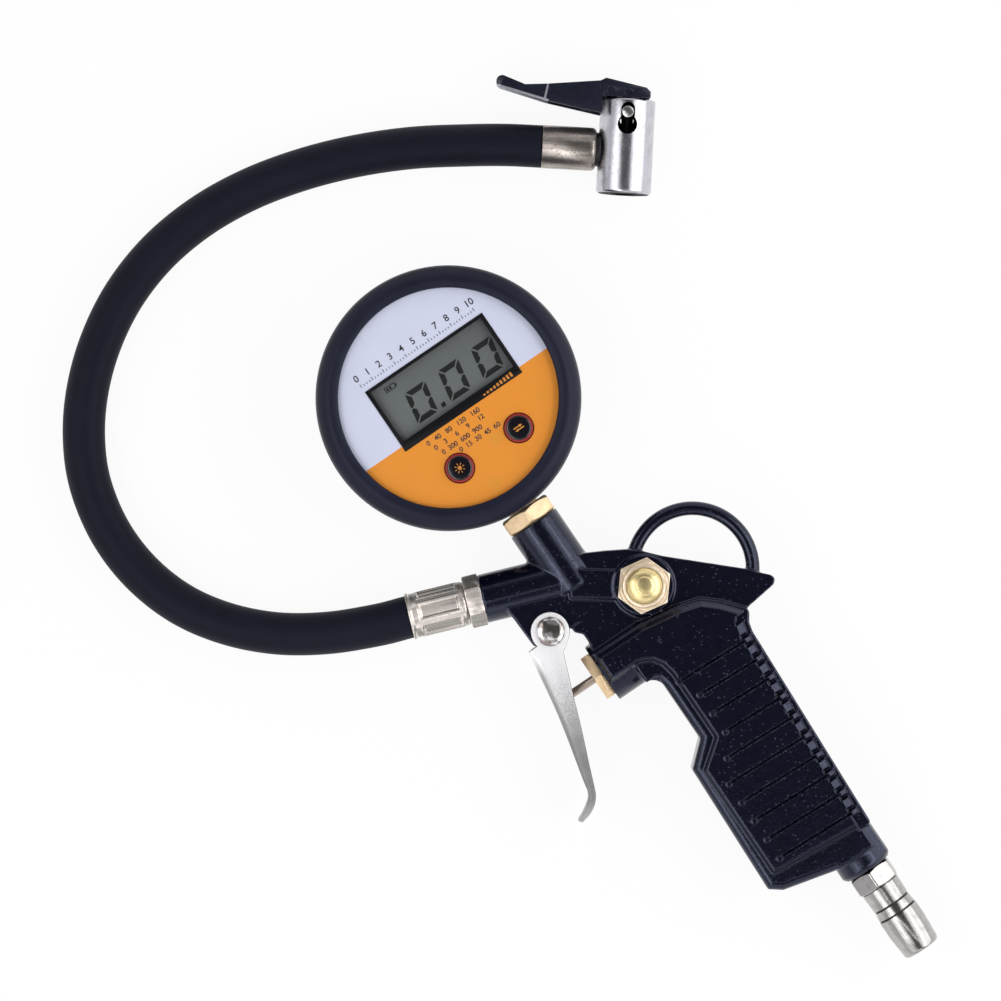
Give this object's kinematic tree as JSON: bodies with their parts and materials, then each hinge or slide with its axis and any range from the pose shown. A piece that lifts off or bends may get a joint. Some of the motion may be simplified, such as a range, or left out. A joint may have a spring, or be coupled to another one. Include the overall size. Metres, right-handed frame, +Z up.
{
  "type": "tyre inflator with gauge",
  "caption": "Pistol-grip air-line tyre inflator with a trigger, a digital pressure gauge in a rubber boot, a bleed valve, a short hose and a clip-on chuck.",
  "frame": {"origin": "centre of the bottom face of the box around the gun and the gauge, with the hose and what is on it left out; the tool lies on its side on z = 0", "axes": "+Z up from the surface it lies on, +Y along the grip from the inlet towards the gauge, +X towards the back of the grip"},
  "size_m": [0.2184, 0.3152, 0.034],
  "materials": {
    "black_paint": "gloss black over rough casting",
    "lever_paint": "semi-gloss black",
    "brass": "machined",
    "bleed_brass": "polished",
    "inner_brass": "machined",
    "seal_rubber": "smooth",
    "satin_steel": "satin, stamped",
    "bright_steel": "bright",
    "spring_steel": "drawn wire",
    "screw_steel": "zinc plated",
    "chrome": "polished",
    "nickel": "satin nickel plate",
    "neck_black": "blackened steel",
    "boot_rubber": "moulded, matte",
    "hose_rubber": "matte, fine cloth print",
    "black_plastic": "moulded",
    "cell_sleeve": "printed sleeve",
    "board_green": "solder mask",
    "white_plastic": "moulded",
    "face_print": "printed overlay, pale above and orange below",
    "lcd_glass": "grey-green display",
    "window": "clear",
    "key_gloss": "gloss, dark"
  },
  "bodies": {
    "gun": {"gun_body": "black_paint", "valve_cartridge": "brass", "cartridge_o_ring": "seal_rubber", "pin_o_ring": "seal_rubber", "valve_spring": "spring_steel", "trigger_pin": "bright_steel", "bleed_body": "bleed_brass", "bleed_gasket": "seal_rubber", "bleed_spring": "spring_steel", "inlet_nipple": "chrome", "gauge_stem": "brass", "stem_nut": "bright_steel", "pressure_sensor": "bright_steel", "gauge_boot": "boot_rubber", "gauge_case": "black_plastic", "case_back": "black_plastic", "case_screws": "screw_steel", "battery_door": "black_plastic", "battery_door_screw": "screw_steel", "battery_tray": "black_plastic", "battery_contacts": "nickel", "battery_cells": "cell_sleeve", "circuit_board": "board_green", "board_screws": "screw_steel", "tact_switches": "black_plastic", "backlight": "white_plastic", "lcd_module": "lcd_glass", "lcd_bezel": "black_plastic", "lcd_window": "window", "face_plate": "white_plastic", "face_label": "face_print", "hose": "hose_rubber", "hose_tail_gun": "nickel", "ferrule_gun": "nickel", "hose_tail_chuck": "neck_black", "ferrule_chuck": "nickel", "chuck_body": "chrome", "lever_pin": "bright_steel", "chuck_collet": "inner_brass", "guide_bush": "inner_brass", "rod_o_ring": "seal_rubber", "chuck_spring": "spring_steel"},
    "trigger": {"trigger_lever": "satin_steel"},
    "inflate_valve": {"valve_pin": "bright_steel", "poppet": "brass", "poppet_seal": "seal_rubber"},
    "bleed_plunger": {"bleed_button": "bleed_brass", "bleed_seal": "seal_rubber"},
    "light_key": {"light_button": "key_gloss"},
    "unit_key": {"unit_button": "key_gloss"},
    "thumb_lever": {"chuck_lever": "lever_paint"},
    "chuck_plunger": {"plunger_rod": "bright_steel", "cross_pin": "chrome", "link_pin": "bright_steel", "plunger_foot": "inner_brass", "valve_depressor": "inner_brass", "chuck_seal": "seal_rubber"}
  },
  "joints": [
    {"name": "trigger_pivot", "type": "hinge", "parent": "gun", "child": "trigger", "pos_m": [-0.02063, 0.01395, 0.012], "axis": [0, 0, 1], "range_deg": [0, 12], "stiffness_Nm_per_rad": 0.8, "springref_deg": -8.59},
    {"name": "inflate_valve_slide", "type": "slide", "parent": "gun", "child": "inflate_valve", "axis": [1, 0, 0], "range_m": [0, 0.0043], "deforming": ["valve_spring"]},
    {"name": "bleed_press", "type": "slide", "parent": "gun", "child": "bleed_plunger", "axis": [0, 0, -1], "range_m": [0, 0.0015], "stiffness_N_per_m": 1500, "springref_m": -0.001, "deforming": ["bleed_spring"]},
    {"name": "light_press", "type": "slide", "parent": "gun", "child": "light_key", "axis": [0, 0, -1], "range_m": [0, 0.0008], "stiffness_N_per_m": 1200, "springref_m": -0.0004},
    {"name": "unit_press", "type": "slide", "parent": "gun", "child": "unit_key", "axis": [0, 0, -1], "range_m": [0, 0.0008], "stiffness_N_per_m": 1200, "springref_m": -0.0004},
    {"name": "lever_pivot", "type": "hinge", "parent": "gun", "child": "thumb_lever", "pos_m": [0.08747, 0.13958, 0.0084], "axis": [0, 0, 1], "range_deg": [0, 10], "stiffness_Nm_per_rad": 0.5, "springref_deg": -8.59},
    {"name": "plunger_slide", "type": "slide", "parent": "gun", "child": "chuck_plunger", "axis": [0.606, 0.7955, 0], "range_m": [0, 0.00095], "deforming": ["chuck_spring"]}
  ],
  "couplings": [
    {"joint": "inflate_valve_slide", "follows": "trigger_pivot", "m_per_rad": 0.0204},
    {"joint": "plunger_slide", "follows": "lever_pivot", "m_per_rad": 0.0054}
  ]
}
